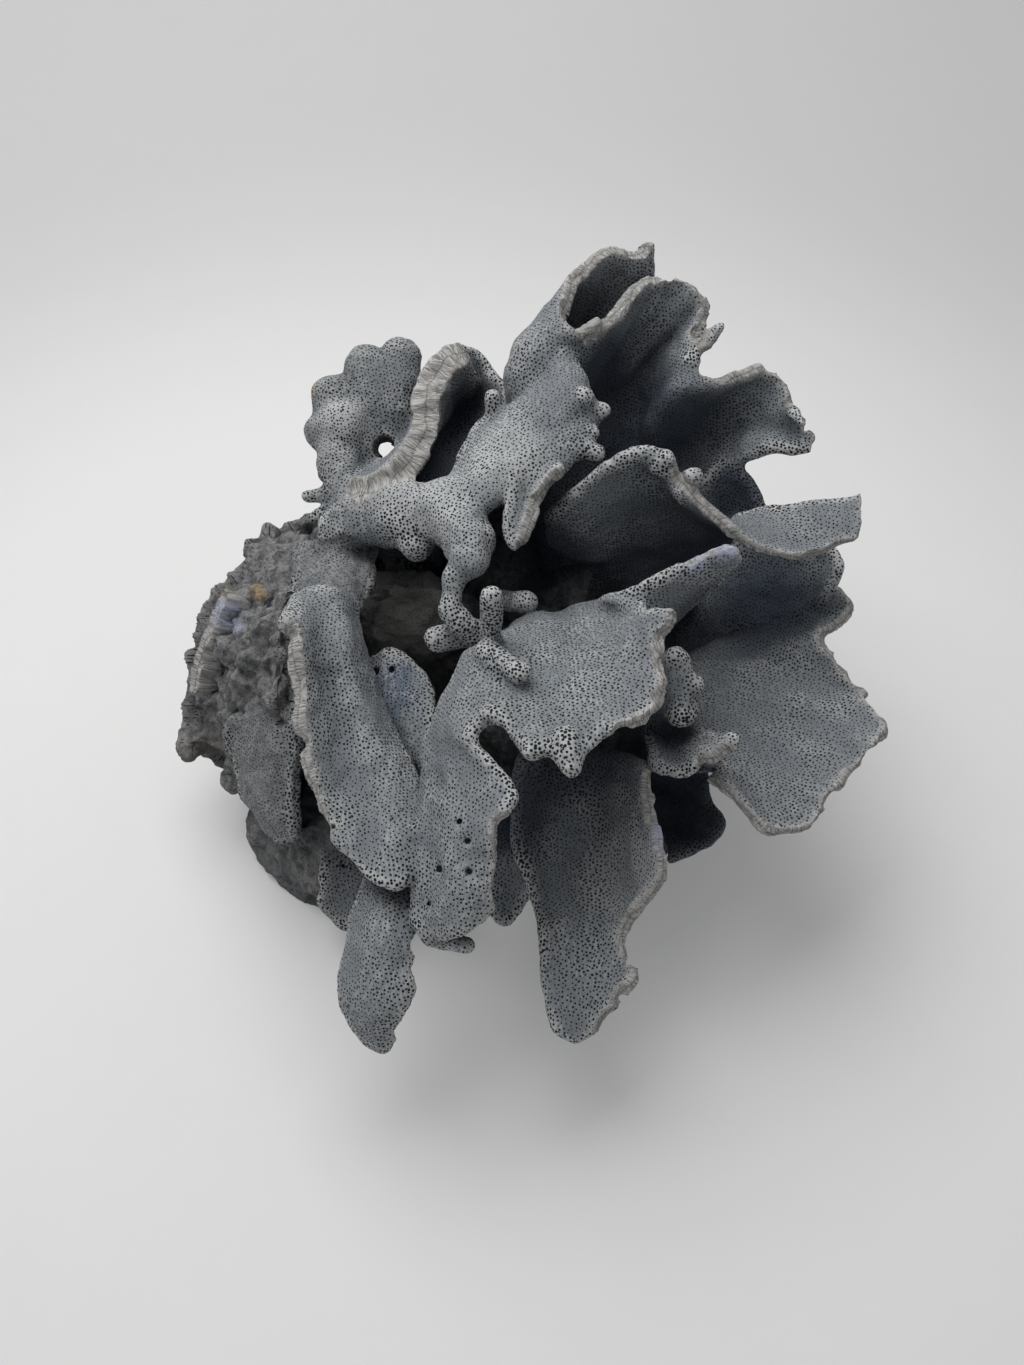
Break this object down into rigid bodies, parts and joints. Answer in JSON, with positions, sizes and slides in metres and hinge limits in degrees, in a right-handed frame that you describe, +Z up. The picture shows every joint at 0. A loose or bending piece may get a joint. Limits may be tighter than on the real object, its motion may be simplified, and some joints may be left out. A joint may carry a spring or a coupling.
{
  "type": "blue coral colony",
  "caption": "Branching blue coral colony: wavy upright fronds and lobes on a rough holdfast that is cut flat to rest on.",
  "frame": {"origin": "middle of the flat cut under the holdfast", "axes": "+Z up from the cut, -Y towards the side that the front fronds lean over, +X to the right seen from that side"},
  "size_m": [0.2368, 0.2386, 0.1651],
  "materials": {
    "living_skeleton": "dull blue-grey coral skeleton with fine pores",
    "old_skeleton": "rough, pitted, brown-grey old coral skeleton"
  },
  "bodies": {
    "root": {"holdfast": "old_skeleton", "left_wall": "old_skeleton", "back_fan": "living_skeleton", "left_branch": "living_skeleton", "back_left_lobe": "living_skeleton", "right_upper_frond": "living_skeleton", "right_inner_frond": "living_skeleton", "right_fan": "living_skeleton", "centre_frond": "living_skeleton", "front_ridge_frond": "living_skeleton", "front_left_frond": "living_skeleton", "front_left_tongue": "living_skeleton", "front_fan": "living_skeleton", "low_right_frond": "living_skeleton", "low_left_frond": "living_skeleton", "low_front_frond": "living_skeleton", "inner_lobe": "living_skeleton"}
  },
  "joints": []
}
